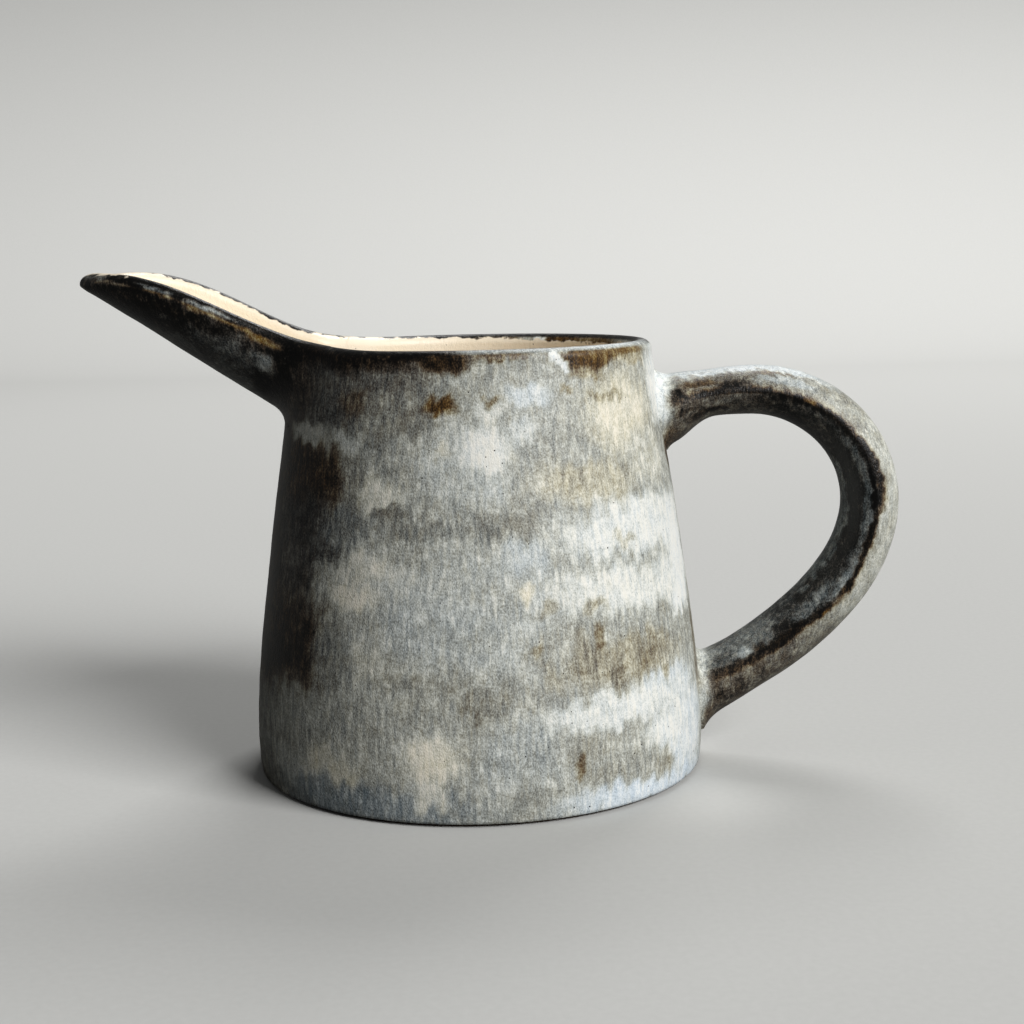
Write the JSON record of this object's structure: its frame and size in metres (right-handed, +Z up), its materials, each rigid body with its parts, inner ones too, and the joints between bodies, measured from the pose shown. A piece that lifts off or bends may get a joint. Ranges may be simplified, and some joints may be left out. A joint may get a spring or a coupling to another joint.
{
  "type": "pouring jug",
  "caption": "Hand-built stoneware pouring jug with a leaning wall, a long open half-round spout and a pulled loop handle, glazed in streaked grey, cream and brown.",
  "frame": {"origin": "centre of the flat foot, on the surface that the jug stands on", "axes": "+Z up along the jug's axis, +X towards the handle, the spout along -X, +Y across"},
  "size_m": [0.1797, 0.1004, 0.1107],
  "materials": {
    "streaked_glaze": "satin reactive glaze, pale grey, cream and brown streaks",
    "dark_glaze": "satin dark brown to black glaze",
    "liner_glaze": "glossy cream liner glaze",
    "bare_stoneware": "matt bare fired clay"
  },
  "bodies": {
    "root": {"body_wall": "streaked_glaze", "base_disc": "bare_stoneware", "base_coil": "liner_glaze", "spout": "dark_glaze", "spout_join_coil": "dark_glaze", "handle": "streaked_glaze", "handle_upper_coil": "streaked_glaze", "handle_lower_coil": "streaked_glaze"}
  },
  "joints": []
}
